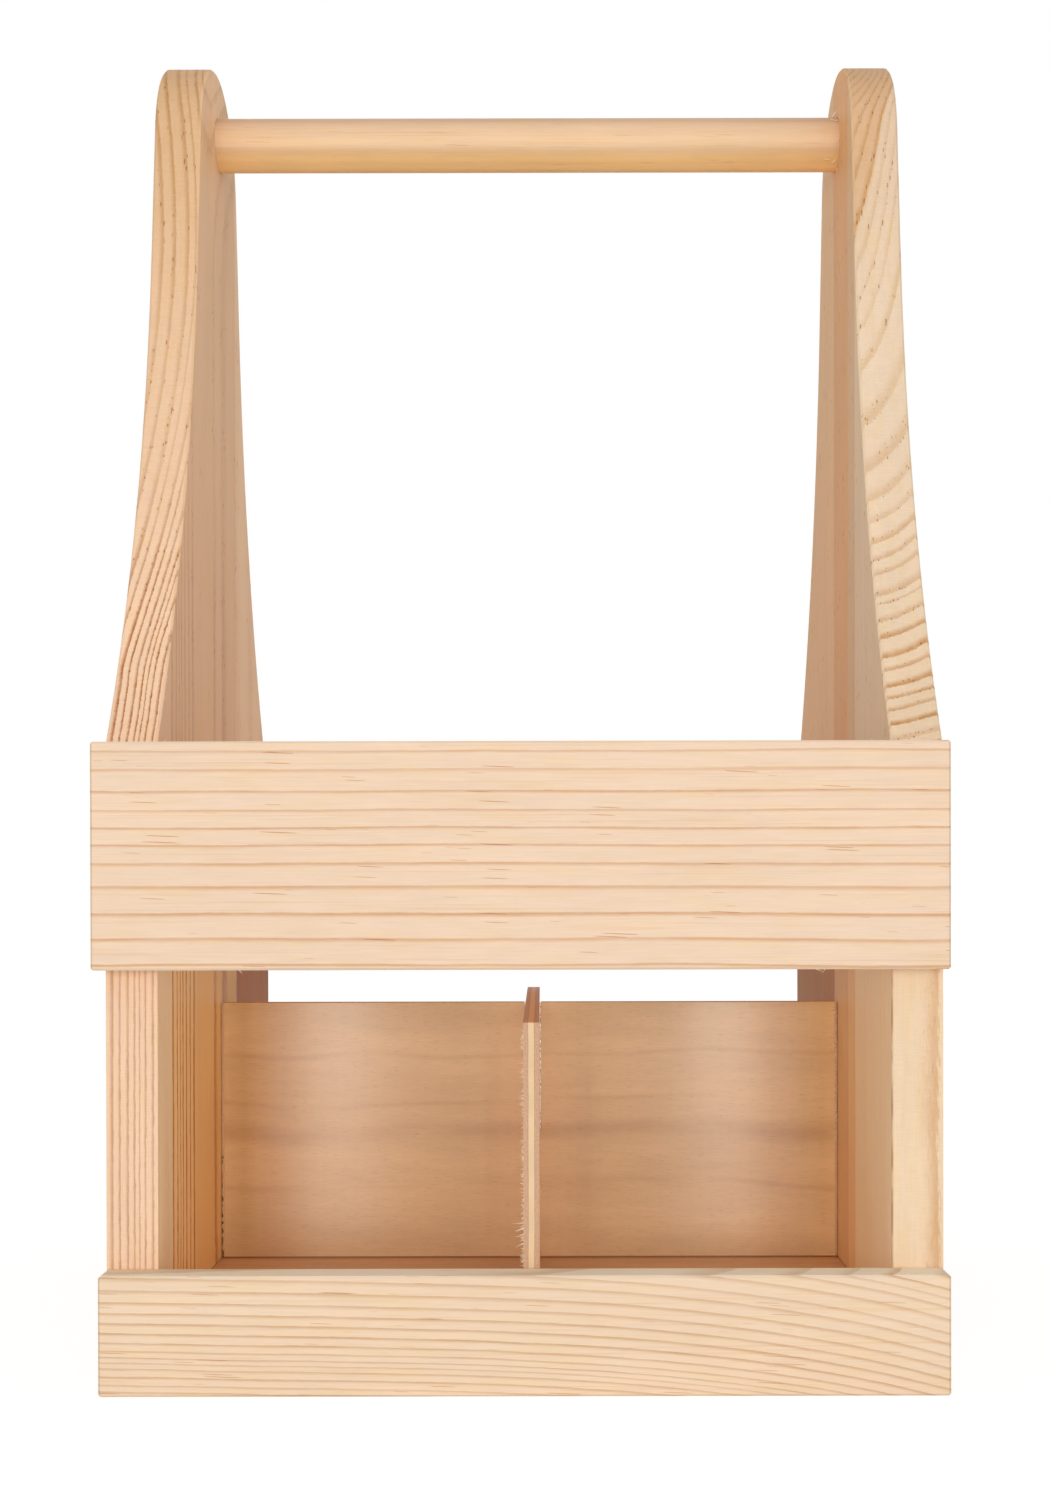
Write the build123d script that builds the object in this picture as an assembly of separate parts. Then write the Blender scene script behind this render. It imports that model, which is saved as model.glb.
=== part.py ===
from build123d import *
import math
import os

# A wooden bottle caddy for four bottles. Two flared side panels are joined by a round handle at the top,
# by two slats in front and two behind, and by a thin floor held in grooves. A half-lapped grid of two thin
# dividers stands loose on the floor and lifts out.
# Millimetres. +Z is up, the front is towards -Y, and the origin is on the ground under the middle.

# Bottle cells and the boards round them
cell_size = 83.0  # clear square for one bottle
divider_thickness = 4.0  # three-ply
panel_thickness = 12.0  # side panels, pine
slat_thickness = 9.0  # slats, pine

# Heights of the front and the back, from the ground up
lower_slat_height = 27.5
window_height = 69.5
upper_slat_height = 52.0
upper_slat_overhang = 1.4  # the upper slats are cut this much longer than the caddy is wide
slat_ease = 0.5  # broken edges of a slat

# Side panel outline
overall_height = 339.2
top_radius = 28.0  # the rounded top
neck_angle = 8.0  # degrees by which each side of the neck leans out
neck_length = 34.0  # straight stretch between the rounded top and the flare
panel_ease = 0.5  # chamfer along the panel's free edges

# Round handle
handle_diameter = 14.0
handle_drop = 18.6  # from the top of the panel down to the handle's axis
handle_end_ease = 1.0
socket_floor = 5.0  # wood left outside the handle's blind socket
socket_clearance = 0.1  # round the handle, filled with glue
socket_end_gap = 0.2

# Countersunk screws, from outside into the handle's ends
screw_length = 30.0
screw_diameter = 3.5
screw_head_diameter = 7.0
screw_head_height = 2.6
screw_tip_length = 5.0
screw_clearance = 0.1
screw_inset = 0.2  # the head lies this far under the panel's face
recess_span = 4.0
recess_width = 0.8
recess_depth = 1.4

# Blind wooden pins between the slats and the side panels
pin_diameter = 5.0
pin_length_in_panel = 14.0
pin_cover = 3.0  # wood left over a pin's end in a slat
pin_end_gap = 0.4
pin_clearance = 0.05
upper_pin_height_shares = (0.25, 0.75)  # of the upper slat's height

# Floor in its grooves
floor_thickness = 4.0
floor_rise = 10.0  # from the ground to the floor's underside
groove_in_panel = 4.0
groove_in_slat = 3.0
groove_end_gap = 0.5
groove_clearance = 0.2  # over the floor

# Loose divider grid
divider_height = 70.5
long_divider_end_gap = 0.65
cross_divider_end_gap = 0.5
cross_divider_offset = 0.9  # its slot in the long divider is cut this far to the right of the middle
cross_divider_skew = 0.4  # degrees by which it stands askew, its front end to the right
slot_clearance = 0.2  # each side of the board that passes through a slot
slot_end_gap = 0.25  # left between the two slots' ends

cut_overrun = 1.0  # how far a cutting tool runs past the face that it opens

# Places that follow from the sizes above
interior_side = 2 * cell_size + divider_thickness
half_interior = interior_side / 2
overall_width = interior_side + 2 * panel_thickness
upper_slat_bottom = lower_slat_height + window_height
shoulder_height = upper_slat_bottom + upper_slat_height
top_centre_height = overall_height - top_radius
handle_height = overall_height - handle_drop
socket_depth = panel_thickness - socket_floor
handle_length = interior_side + 2 * (socket_depth - socket_end_gap)
floor_top = floor_rise + floor_thickness
pin_place = half_interior + panel_thickness / 2
pin_hole_in_slat = slat_thickness - pin_cover
slat_centre = half_interior + slat_thickness / 2
screw_tip_place = overall_width / 2 - screw_inset - screw_length


def upright_block(size_x, size_y, size_z, centre_x, centre_y, bottom):
    """A block that stands on the height `bottom`."""
    block = Box(size_x, size_y, size_z, align=(Align.CENTER, Align.CENTER, Align.MIN))
    return Pos(centre_x, centre_y, bottom) * block


def rod_along_x(radius, length, start_x, height):
    """A cylinder that runs from start_x towards +X at the handle's height and depth."""
    rod = Cylinder(radius, length, align=(Align.CENTER, Align.CENTER, Align.MIN))
    return Pos(start_x, 0, height) * Rot(0, 90, 0) * rod


def rod_along_y(radius, length, centre_x, start_y, height):
    """A cylinder that runs from start_y towards -Y."""
    rod = Cylinder(radius, length, align=(Align.CENTER, Align.CENTER, Align.MIN))
    return Pos(centre_x, start_y, height) * Rot(90, 0, 0) * rod


def upper_pin_heights():
    """Heights of the two pins at each end of an upper slat."""
    return [upper_slat_bottom + share * upper_slat_height for share in upper_pin_height_shares]


def lower_pin_heights():
    """Height of the one pin at each end of a lower slat, midway between the floor's groove and the top."""
    groove_top = floor_top + groove_clearance
    return [(groove_top + lower_slat_height) / 2]


def panel_outline():
    """Rounded top, short straight neck, one arc that flares out to the slats, and an upright lower part."""
    lean = math.radians(neck_angle)
    down = (math.sin(lean), -math.cos(lean))
    neck_top = (top_radius * math.cos(lean), top_centre_height + top_radius * math.sin(lean))
    neck_foot = (neck_top[0] + neck_length * down[0], neck_top[1] + neck_length * down[1])
    shoulder = (half_interior, shoulder_height)
    right_half = [
        Line(neck_top, neck_foot),
        TangentArc(neck_foot, shoulder, tangent=down),
        Line(shoulder, (half_interior, 0)),
    ]
    edges = right_half + [mirror(edge, about=Plane.YZ) for edge in right_half]
    edges.append(ThreePointArc((-neck_top[0], neck_top[1]), (0, overall_height), neck_top))
    edges.append(Line((-half_interior, 0), (half_interior, 0)))
    return make_face([Plane.YZ * edge for edge in edges])


def is_free_panel_edge(edge):
    """True for the outline's edges above the slats, on both faces of the panel."""
    box = edge.bounding_box()
    return box.size.X < box.size.Z and box.max.Z > shoulder_height + panel_ease


def right_side_panel():
    """The flared board on the +X side, with its handle socket, screw hole, floor groove and pin holes."""
    panel = Pos(half_interior, 0, 0) * extrude(panel_outline(), panel_thickness, dir=(1, 0, 0))
    free_edges = [edge for edge in panel.edges() if is_free_panel_edge(edge)]
    panel = chamfer(free_edges, panel_ease)
    panel -= rod_along_x(
        handle_diameter / 2 + socket_clearance,
        cut_overrun + socket_depth,
        half_interior - cut_overrun,
        handle_height,
    )
    screw_hole_radius = screw_diameter / 2 + screw_clearance
    panel -= rod_along_x(screw_hole_radius, panel_thickness, half_interior, handle_height)
    panel -= screw_countersink()
    panel -= upright_block(
        2 * groove_in_panel,
        interior_side + 2 * cut_overrun,
        floor_thickness + groove_clearance,
        half_interior,
        0,
        floor_rise,
    )
    hole_length = pin_length_in_panel + pin_end_gap
    for height in upper_pin_heights() + lower_pin_heights():
        for start_y in (half_interior + cut_overrun, hole_length - half_interior):
            panel -= rod_along_y(
                pin_diameter / 2 + pin_clearance,
                hole_length + cut_overrun,
                pin_place,
                start_y,
                height,
            )
    return panel


def screw_countersink():
    """The cone cut in the right panel's outer face for the screw's head."""
    depth = screw_inset + screw_head_height
    slope = (screw_head_diameter - screw_diameter) / 2 / screw_head_height
    mouth = screw_diameter / 2 + screw_clearance + slope * depth
    cone = Cone(
        screw_diameter / 2 + screw_clearance,
        mouth,
        depth,
        align=(Align.CENTER, Align.CENTER, Align.MIN),
    )
    return Pos(overall_width / 2 - depth, 0, handle_height) * Rot(0, 90, 0) * cone


def eased_slat(length, height, centre_x, side, bottom):
    """A slat on the front (side -1) or the back (side 1), its edges slightly broken."""
    slat = upright_block(length, slat_thickness, height, centre_x, side * slat_centre, bottom)
    return chamfer(slat.edges(), slat_ease)


def drill_slat(slat, side, heights):
    """Cuts the blind pin holes in a slat's inner face."""
    length = pin_hole_in_slat + cut_overrun
    start_y = side * half_interior + (length - cut_overrun if side > 0 else cut_overrun)
    for centre_x in (-pin_place, pin_place):
        for height in heights:
            slat -= rod_along_y(pin_diameter / 2 + pin_clearance, length, centre_x, start_y, height)
    return slat


def upper_slat(side):
    """The broad slat. It sticks out at the left of its own face, so front and back are one pattern."""
    length = overall_width + upper_slat_overhang
    centre_x = side * upper_slat_overhang / 2
    slat = eased_slat(length, upper_slat_height, centre_x, side, upper_slat_bottom)
    return drill_slat(slat, side, upper_pin_heights())


def lower_slat(side):
    """The narrow slat at the foot, with a stopped groove for the floor's edge."""
    slat = eased_slat(overall_width, lower_slat_height, 0, side, 0)
    slat -= upright_block(
        interior_side + 2 * groove_in_panel,
        2 * groove_in_slat,
        floor_thickness + groove_clearance,
        0,
        side * half_interior,
        floor_rise,
    )
    return drill_slat(slat, side, lower_pin_heights())


def slat_pins(side, heights):
    """The glued pins of one slat."""
    length_in_slat = pin_hole_in_slat - pin_end_gap
    length = pin_length_in_panel + length_in_slat
    start_y = side * half_interior + (length_in_slat if side > 0 else pin_length_in_panel)
    pins = []
    for centre_x in (-pin_place, pin_place):
        for height in heights:
            pins.append(rod_along_y(pin_diameter / 2, length, centre_x, start_y, height))
    return pins


def handle():
    """The round handle, glued in its two sockets, with a pilot hole in each end."""
    half_length = handle_length / 2
    rod = rod_along_x(handle_diameter / 2, handle_length, -half_length, handle_height)
    rod = chamfer(rod.edges().filter_by(GeomType.CIRCLE), handle_end_ease)
    pilot_radius = screw_diameter / 2 + screw_clearance
    pilot_start = screw_tip_place - pin_end_gap
    pilot = rod_along_x(pilot_radius, half_length, pilot_start, handle_height)
    return rod - pilot - mirror(pilot, about=Plane.YZ)


def right_screw():
    """A countersunk wood screw with a cross recess, its head in the right panel."""
    head_x = overall_width / 2 - screw_inset
    shank_radius = screw_diameter / 2
    outline = Polyline(
        (head_x, 0),
        (head_x, screw_head_diameter / 2),
        (head_x - screw_head_height, shank_radius),
        (screw_tip_place + screw_tip_length, shank_radius),
        (screw_tip_place, 0),
        close=True,
    )
    screw = revolve(make_face(outline), Axis.X)
    for turn in (0, 90):
        arm = Box(2 * recess_depth, recess_width, recess_span)
        screw -= Pos(head_x, 0, 0) * Rot(turn, 0, 0) * arm
    return Pos(0, 0, handle_height) * screw


def floor_panel():
    """The thin floor, its four edges in the grooves."""
    size_x = interior_side + 2 * (groove_in_panel - groove_end_gap)
    size_y = interior_side + 2 * (groove_in_slat - groove_end_gap)
    return upright_block(size_x, size_y, floor_thickness, 0, 0, floor_rise)


def divider_slot(bottom):
    """The half-lap slot, cut from `bottom` up over half of a divider's height."""
    width = divider_thickness + 2 * slot_clearance
    return upright_block(width, width, (divider_height + slot_end_gap) / 2 + cut_overrun, 0, 0, bottom)


def long_divider():
    """The board from side to side. Its slot opens upwards."""
    length = interior_side - 2 * long_divider_end_gap
    board = upright_block(length, divider_thickness, divider_height, 0, 0, floor_top)
    slot = divider_slot(floor_top + (divider_height - slot_end_gap) / 2)
    return board - Pos(cross_divider_offset, 0, 0) * slot


def cross_divider():
    """The board from front to back, a little askew. Its slot opens downwards, over the long divider."""
    length = interior_side - 2 * cross_divider_end_gap
    board = upright_block(divider_thickness, length, divider_height, 0, 0, floor_top)
    board -= divider_slot(floor_top - cut_overrun)
    return Pos(cross_divider_offset, 0, 0) * Rot(0, 0, cross_divider_skew) * board


def all_parts():
    """Every sub-part under its node name. A list holds like fasteners."""
    right_panel = right_side_panel()
    screw = right_screw()
    return {
        "left_side_panel": mirror(right_panel, about=Plane.YZ),
        "right_side_panel": right_panel,
        "handle_dowel": handle(),
        "handle_screws": [mirror(screw, about=Plane.YZ), screw],
        "front_upper_slat": upper_slat(-1),
        "back_upper_slat": upper_slat(1),
        "front_lower_slat": lower_slat(-1),
        "back_lower_slat": lower_slat(1),
        "front_upper_pins": slat_pins(-1, upper_pin_heights()),
        "back_upper_pins": slat_pins(1, upper_pin_heights()),
        "front_lower_pins": slat_pins(-1, lower_pin_heights()),
        "back_lower_pins": slat_pins(1, lower_pin_heights()),
        "floor_panel": floor_panel(),
        "long_divider": long_divider(),
        "cross_divider": cross_divider(),
    }


def main():
    os.makedirs("parts", exist_ok=True)
    for name, shape in all_parts().items():
        solids = [solid for piece in (shape if isinstance(shape, list) else [shape]) for solid in piece.solids()]
        whole = solids[0] if len(solids) == 1 else Compound(children=solids)
        whole.label = name
        export_step(whole, os.path.join("parts", name + ".step"))
        print(name, len(solids), "solids,", round(whole.volume), "cubic mm")


main()
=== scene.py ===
import math
import random
from collections import namedtuple
from collections.abc import Callable
from dataclasses import dataclass

import bmesh
import bpy
from mathutils import Matrix, Vector


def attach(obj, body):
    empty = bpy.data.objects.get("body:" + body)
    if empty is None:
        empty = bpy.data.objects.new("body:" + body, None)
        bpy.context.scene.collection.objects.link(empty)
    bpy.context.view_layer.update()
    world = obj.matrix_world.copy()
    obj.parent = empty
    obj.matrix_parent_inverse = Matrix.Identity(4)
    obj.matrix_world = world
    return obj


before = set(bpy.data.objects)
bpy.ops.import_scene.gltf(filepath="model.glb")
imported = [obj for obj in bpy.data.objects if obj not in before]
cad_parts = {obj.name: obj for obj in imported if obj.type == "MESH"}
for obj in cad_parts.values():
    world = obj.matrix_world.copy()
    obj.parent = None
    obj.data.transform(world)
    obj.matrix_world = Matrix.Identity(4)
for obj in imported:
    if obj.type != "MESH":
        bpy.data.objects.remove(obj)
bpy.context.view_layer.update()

# A raw pine bottle caddy. Sizes and places are millimetres, as in the CAD source, and millimetre turns them
# into Blender's metres. Colours are linear, and a tint is a colour that another one is multiplied by.
millimetre = 0.001
axis_numbers = {"x": 0, "y": 1, "z": 2}
Place = namedtuple("Place", "x y z")


def box_of(node):
    """The lowest and the highest corner of a CAD node, in millimetres."""
    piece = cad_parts[node]
    corners = [piece.matrix_world @ Vector(corner) / millimetre for corner in piece.bound_box]
    return [Place(*[round(choose(side), 3) for side in zip(*corners)]) for choose in (min, max)]


# The solids that the looks and the torn fibres follow
panel_low, panel_high = box_of("right_side_panel")
slat_low, slat_high = box_of("front_upper_slat")
divider_low, divider_high = box_of("long_divider")
handle_bottom = box_of("handle_dowel")[0].z
behind_upper_slat = (slat_low.z + 1, slat_high.z + 1)

# Camera at the photograph's viewing point
camera_place = (6.9, -523.6, 114)
camera_sensor = 36
camera_lens = 45.46
camera_shift = (-0.0194, 0.1042)
camera_tilt_down = 0.006  # radians
camera_roll = -0.002

# Light
world_light_in_front = 0.64
world_light_behind = 0.62
world_light_low_behind = 0.04
world_turn = 0.6  # how far to the front or the back the light turns into the front's or the back's own
world_high = 0.42  # how far up the light behind grows
world_colour = (1.01, 1.03, 1.03)
white = (1, 1, 1)
fill_power = 6.1
fill_size = (1600, 420)
fill_place = (0, -1700, 330)
fill_aim = (0, 0, 110)
strip_power = 0.95
strip_size = (50, 240)
strip_distance = 1250
strip_height = 160
strip_places = (-196, 166)
strip_aim = (0, 0, 80)
floor_reach = 40  # metres
floor_gap = 0.01
floor_colour = (0.92, 0.91, 0.88)
floor_colour_behind = (0.12, 0.115, 0.11)
floor_turns_dark = (30, 90)
floor_turns_pale = (420, 620)
floor_seen_colour = (0.34, 0.34, 0.34)
floor_seen_glow = 0.80

# Edges of the sawn boards are rounded a little
edge_rounding = 0.28
edge_rounding_segments = 2
edge_rounding_angle = 30
sharp_edge_angle = 38
weld_distance = 0.001

# Noise runs from about 0 to 1, and most of it lies in one of these ranges
noise_range = (0.3, 0.7)
fine_noise_range = (0.25, 0.75)
centre_of_noise = 0.5


class Nodes:
    """A node tree, with short calls that return output sockets."""

    def __init__(self, tree):
        self.tree = tree

    def connect(self, socket, value):
        if isinstance(value, bpy.types.NodeSocket):
            self.tree.links.new(value, socket)
        elif socket.type == "RGBA":
            socket.default_value = (*value, 1)
        else:
            socket.default_value = value

    def node(self, kind, inputs=None, **settings):
        node = self.tree.nodes.new(kind)
        for key, value in settings.items():
            setattr(node, key, value)
        for key, value in (inputs or {}).items():
            self.connect(node.inputs[key], value)
        return node

    def add(self, kind, inputs=None, output=0, **settings):
        return self.node(kind, inputs, **settings).outputs[output]


class Graph(Nodes):
    """The nodes of one material or world."""

    def __init__(self, owner):
        owner.use_nodes = True
        super().__init__(owner.node_tree)
        self.owner = owner
        self.tree.nodes.clear()
        self.coordinates = self.node("ShaderNodeTexCoord").outputs

    def math(self, operation, *values):
        return self.add("ShaderNodeMath", dict(enumerate(values)), operation=operation)

    def vector(self, operation, *values):
        return self.add("ShaderNodeVectorMath", dict(enumerate(values)), operation=operation)

    def chain(self, operation, values):
        result = values[0]
        for value in values[1:]:
            result = self.math(operation, result, value)
        return result

    def total(self, *values):
        return self.chain("ADD", values)

    def product(self, *values):
        return self.chain("MULTIPLY", values)

    def split(self, vector):
        return list(self.node("ShaderNodeSeparateXYZ", {0: vector}).outputs)

    def noise(self, vector, detail=2, roughness=0.5, output="Fac"):
        inputs = {"Vector": vector, "Scale": 1, "Detail": detail, "Roughness": roughness}
        return self.add("ShaderNodeTexNoise", inputs, output)

    def slope(self, value, low, high, to_low=0, to_high=1, kind="LINEAR"):
        """Runs from to_low, where the value is low, to to_high, where it is high."""
        inputs = {"Value": value, "From Min": low, "From Max": high, "To Min": to_low, "To Max": to_high}
        return self.add("ShaderNodeMapRange", inputs, interpolation_type=kind)

    def step(self, value, low, high, to_low=0, to_high=1):
        """A slope that is eased at both ends."""
        return self.slope(value, low, high, to_low, to_high, "SMOOTHSTEP")

    def distance(self, value, place):
        return self.math("ABSOLUTE", self.math("SUBTRACT", value, place))

    def near(self, value, place, reach, strength):
        """The strength at the place, which fades to nothing at the reach on both sides."""
        return self.step(self.distance(value, place), reach, 0, 0, strength)

    def sway(self, noise, width):
        """Noise moved round 0, so that it swings over the width."""
        return self.product(self.math("SUBTRACT", noise, centre_of_noise), width)

    def curve_through(self, position, heights):
        """A value that runs straight from one of the given (place, height) pairs to the next."""
        node = self.node("ShaderNodeFloatCurve", {"Value": position})
        curve = node.mapping.curves[0]
        for place, height in heights[1:-1]:
            curve.points.new(place, height)
        curve.points[0].location = heights[0]
        curve.points[-1].location = heights[-1]
        for point in curve.points:
            point.handle_type = "VECTOR"
        node.mapping.update()
        return node.outputs[0]

    def mix(self, share, first, second, blend="MIX"):
        inputs = {0: share, 6: first, 7: second}
        return self.add("ShaderNodeMix", inputs, 2, data_type="RGBA", blend_type=blend)

    def multiplied(self, colour, tint):
        return self.mix(1, colour, tint, "MULTIPLY")

    def tinted(self, colour, share, tint):
        """The colour, tinted as far as the share says."""
        return self.mix(share, colour, self.multiplied(colour, tint))

    def shade(self, colour, brightness):
        """The colour times a brightness, which may be a socket."""
        return self.add("ShaderNodeVectorMath", {0: colour, "Scale": brightness}, operation="SCALE")

    def finish(self, colour, roughness, specular, height=None, relief=0, fibres=None, metallic=0):
        """Ends a material. Fibres along the axis `fibres` spread the gloss wide across themselves."""
        inputs = {"Base Color": colour, "Roughness": roughness, "Metallic": metallic}
        inputs["Specular IOR Level"] = specular
        if fibres is not None:
            inputs["Anisotropic"] = 1
            inputs["Tangent"] = self.add("ShaderNodeTangent", direction_type="RADIAL", axis=fibres.upper())
        if height is not None:
            bump = {"Height": height, "Strength": 1, "Distance": relief * millimetre}
            inputs["Normal"] = self.add("ShaderNodeBump", bump)
        surface = self.add("ShaderNodeBsdfPrincipled", inputs)
        self.node("ShaderNodeOutputMaterial", {"Surface": surface})
        return self.owner


veneer_seed_step = (41, 59, 73)
pine_seed_step = (37, 53, 71)


class Wood(Graph):
    """The nodes of a wood, with places in millimetres and noise that is stretched along the grain.

    A seed moves all the noise by that many seed steps.
    """

    def __init__(self, name, grain, seed, seed_step=veneer_seed_step):
        super().__init__(bpy.data.materials.new(name))
        self.grain = axis_numbers[grain]
        self.across = [index for index in range(3) if index != self.grain]
        place = self.vector("MULTIPLY", self.coordinates["Object"], (1 / millimetre,) * 3)
        self.moved = self.vector("ADD", place, tuple(seed * part for part in seed_step))
        self.parts = self.split(place)
        self.normal = self.split(self.coordinates["Normal"])

    def facing(self, axis):
        """1 where the surface faces along the axis, either way, and 0 where it runs along it."""
        return self.math("ABSOLUTE", self.normal[axis])

    def stretched(self, vector, along, across):
        """Sizes a pattern `along` millimetres with the grain and `across` millimetres beside it."""
        factors = [1 / across] * 3
        factors[self.grain] = 1 / along
        return self.vector("MULTIPLY", vector, factors)

    def pattern(self, along, across, detail=2, roughness=0.5, output="Fac"):
        return self.noise(self.stretched(self.moved, along, across), detail, roughness, output)

    def patches(self, pattern, edges):
        """Noise that fades in, from the first edge to the second."""
        return self.step(self.pattern(*pattern), *edges)


# Year rings that the photograph doesn't show are drawn at random within these ranges
drawn_width_shares = (0.65, 1.4)
drawn_line_strengths = (0.45, 1)

# The left panel's rings: the sweep behind the flare, the slant further back and the lean up the neck
sweep_depths = (-72.6, -32)
sweep_width = 12.6
sweep_start_easing = 0.083
sweep_start_power = 12
sweep_end_easing = 0.1
sweep_end_power = 10
slant_start = -13
slant = 0.15
lean_heights = (272, panel_high.z)
lean_root = 2.05
lean_power = 2.6

# The lower slat's grain lines, which fall towards the right end
drop_along = (-97, 97)
even_drop = 3
steep_drop = 12.5
steep_drop_power = 4


def more_rings(rings, mean_width, start, end, seed):
    """Pairs of ring edge and line strength, continued at random on both sides to cover start to end."""
    draw = random.Random(seed)
    ladder = sorted(rings) or [(start, drawn_line_strengths[0])]
    while ladder[0][0] > start:
        edge = ladder[0][0] - mean_width * draw.uniform(*drawn_width_shares)
        ladder.insert(0, (edge, draw.uniform(*drawn_line_strengths)))
    while ladder[-1][0] < end:
        edge = ladder[-1][0] + mean_width * draw.uniform(*drawn_width_shares)
        ladder.append((edge, draw.uniform(*drawn_line_strengths)))
    return ladder


def ring_values(wood, place, ladder):
    """The share of the current year ring that lies inside the point, and the strength of its dark line."""
    first, last = ladder[0][0], ladder[-1][0]
    position = wood.slope(place, first, last)
    count = len(ladder) - 1
    shares = [(edge - first) / (last - first) for edge, strength in ladder]
    phase = wood.curve_through(position, [(share, index / count) for index, share in enumerate(shares)])
    ring_share = wood.math("FRACT", wood.product(phase, float(count)))
    strength = wood.curve_through(position, [(share, ring[1]) for share, ring in zip(shares, ladder)])
    return ring_share, strength


def rings_around(pith, drop=None):
    """Rings round a line that runs along the grain through the point `pith` across it."""

    def place(wood, parts):
        offsets = [wood.math("SUBTRACT", parts[index], centre) for index, centre in zip(wood.across, pith)]
        if drop is not None:
            offsets[1] = wood.total(offsets[1], drop(wood, parts[wood.grain]))
        return wood.math("SQRT", wood.total(*[wood.product(offset, offset) for offset in offsets]))

    return place


def swept_rings(wood, parts):
    """The left panel's nearly flat rings, swept inwards behind the flare and leaning out up the neck."""
    across, depth, height = parts
    turn = wood.slope(depth, *sweep_depths)
    left = wood.math("SUBTRACT", 1, turn)
    eased_start = wood.product(wood.math("POWER", left, sweep_start_power), sweep_start_easing)
    eased_end = wood.product(wood.math("POWER", turn, sweep_end_power), -sweep_end_easing)
    even_turn = wood.product(turn, 1 + sweep_start_easing + sweep_end_easing)
    turn = wood.total(even_turn, eased_start, eased_end, -sweep_start_easing)
    back = wood.math("MAXIMUM", wood.math("ADD", depth, -slant_start), 0)
    lean = wood.math("POWER", wood.slope(height, *lean_heights, 0, lean_root), lean_power)
    sweep = wood.math("MULTIPLY_ADD", turn, -sweep_width, sweep_width / 2)
    return wood.total(across, sweep, wood.product(back, -slant), lean)


def lower_slat_drop(wood, along):
    """The lower slat's grain lines fall towards the right end, more and more steeply."""
    share = wood.slope(along, *drop_along)
    steep = wood.product(wood.math("POWER", share, steep_drop_power), steep_drop)
    return wood.total(wood.product(share, even_drop), steep)


def slat_rings(lines, pith, mean_width, end, seed):
    """Rings for a front slat, from the heights at which they cross its outer face."""
    rings = [(math.hypot(slat_low.y - pith[0], height - pith[1]), strength) for height, strength in lines]
    return more_rings(rings, mean_width, rings[0][0] - 12, end, seed)


@dataclass(frozen=True)
class Canals:
    """Resin canals, one in each cell of a random grid. Each cell has a random number from 0 to 1."""
    along: float
    across: float
    smallest: float  # the number up to which a canal has the least reach; at 1 it has the most
    least_reach: float
    most_reach: float
    tint: tuple
    relief: float


@dataclass(frozen=True)
class InnerFace:
    """Painted light and shade on a panel's inner face: tints in zones from front to back, below and above
    the upper slat.
    """
    borders: tuple
    low_tints: tuple
    high_tints: tuple
    line_strengths: tuple = (0.7, 0.32)  # of the dark lines, below and above the slat


streaks = Canals(26, 0.62, 0.4, 0.05, 0.17, (0.76, 0.50, 0.32), -0.3)
dots = Canals(2.6, 0.6, 0.3, 0, 0.38, (0.62, 0.44, 0.30), -0.8)


@dataclass(frozen=True)
class PineLook:
    """What one pine board has of its own, and the light and shade painted on it."""
    grain: str  # axis of the fibres
    seed: float
    ring_place: Callable  # gives the value that grows from ring to ring
    rings: list  # that value at the end of each ring, and the strength of the ring's dark line
    early: tuple  # colour of the pale wood
    late: tuple  # colour of the dark line that ends each ring
    high_late: tuple = None  # two heights between which the dark lines turn to the colour after them
    late_start: float = 0.62  # shares of the ring at which its dark line starts and is full
    late_end: float = 0.93
    fades: tuple = ()  # two heights, and how strong the dark lines are there
    waves: tuple = (1.2, 0.45)  # how far slow and quick waves move the rings
    fuzz: float = 0.12  # how far the rings' edges are rough
    heart: tuple = None  # the values of ring_place between which the heart's tint sets in
    heart_tint: tuple = None
    clouds: float = 0.05  # how much brighter and darker the wood is in places
    canals: Canals = streaks
    canal_strength: float = 0.6
    heights: tuple = ()  # heights and the tints there, which paint light and shade by height
    inner_face: InnerFace = None
    top_tint: tuple = None  # painted light: tint of faces that look up
    raw_corner: tuple = None  # x and y of an upright corner with a dark torn line
    saw_marks: float = 0.0  # how much brighter and darker the marks are on a panel's edges


# Pine of every board. A pattern of noise is its size along and across the grain, its detail and roughness.
# Patches are a pattern, and the noise at which they start and are full, with their strengths there.
slow_waves = (110, 60, 1)
quick_waves = (24, 9)
ring_fuzz = (2.6, 0.45)
line_rise_power = 1.4
line_end_share = 0.015  # share of the ring from the full line to where it starts to end
line_gaps = ((16, 3), (0.3, 0.7, 0.75, 1))
face_lines_weaken = (18, 30)  # depths between which the inner face's lines fall to the strength below
face_lines_at_back = 0.35
on_inner_side = (93, 90)  # x between the outer and the inner face
pine_fibre = (9, 0.22, 3, 0.6)
pine_clouds = (60, 14)
pine_mottle = (11, 1.6, 3, 0.6)
fibre_shade = 0.04
mottle_shade = 0.022
warm_patches = ((45, 5), (0.35, 0.7, 0, 0.5))
warm_tint = (1, 0.965, 0.93)
golden_patches = ((18, 2.4), (0.46, 0.66, 0, 0.8))
golden_tint = (0.995, 0.985, 0.90)
hairs = ((48, 0.34), (0.58, 0.72, 0, 0.6))
hair_tint = (0.94, 0.83, 0.74)
canal_tilt = -0.04  # radians
dotted_share = (0.55, 0.7)  # shares of the ring between which dots set in
dot_groups = ((30, 4, 1), (0.40, 0.48))
fewer_dots = (100, 150, 0.25, 1)  # two heights, and the strength of the dots there
end_grain_tint = (0.88, 0.836, 0.7744)
zone_blur = 0.5
raw_corner_edge = (0.55, 0.2)  # distances from the corner at which the dark line starts and is full
raw_corner_gaps = ((9, 9), (0.35, 0.6, 0.35, 0.95))
raw_corner_fade = (100, 140, 1, 0.2)  # two heights, and the strength of the dark line there
raw_corner_tint = (0.50, 0.34, 0.22)
saw_mark_density = (0.30, 1, 3.2)
pine_specular = 0.35
pine_roughness = (0.62, 0.5)  # of the pale wood and the dark lines
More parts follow.
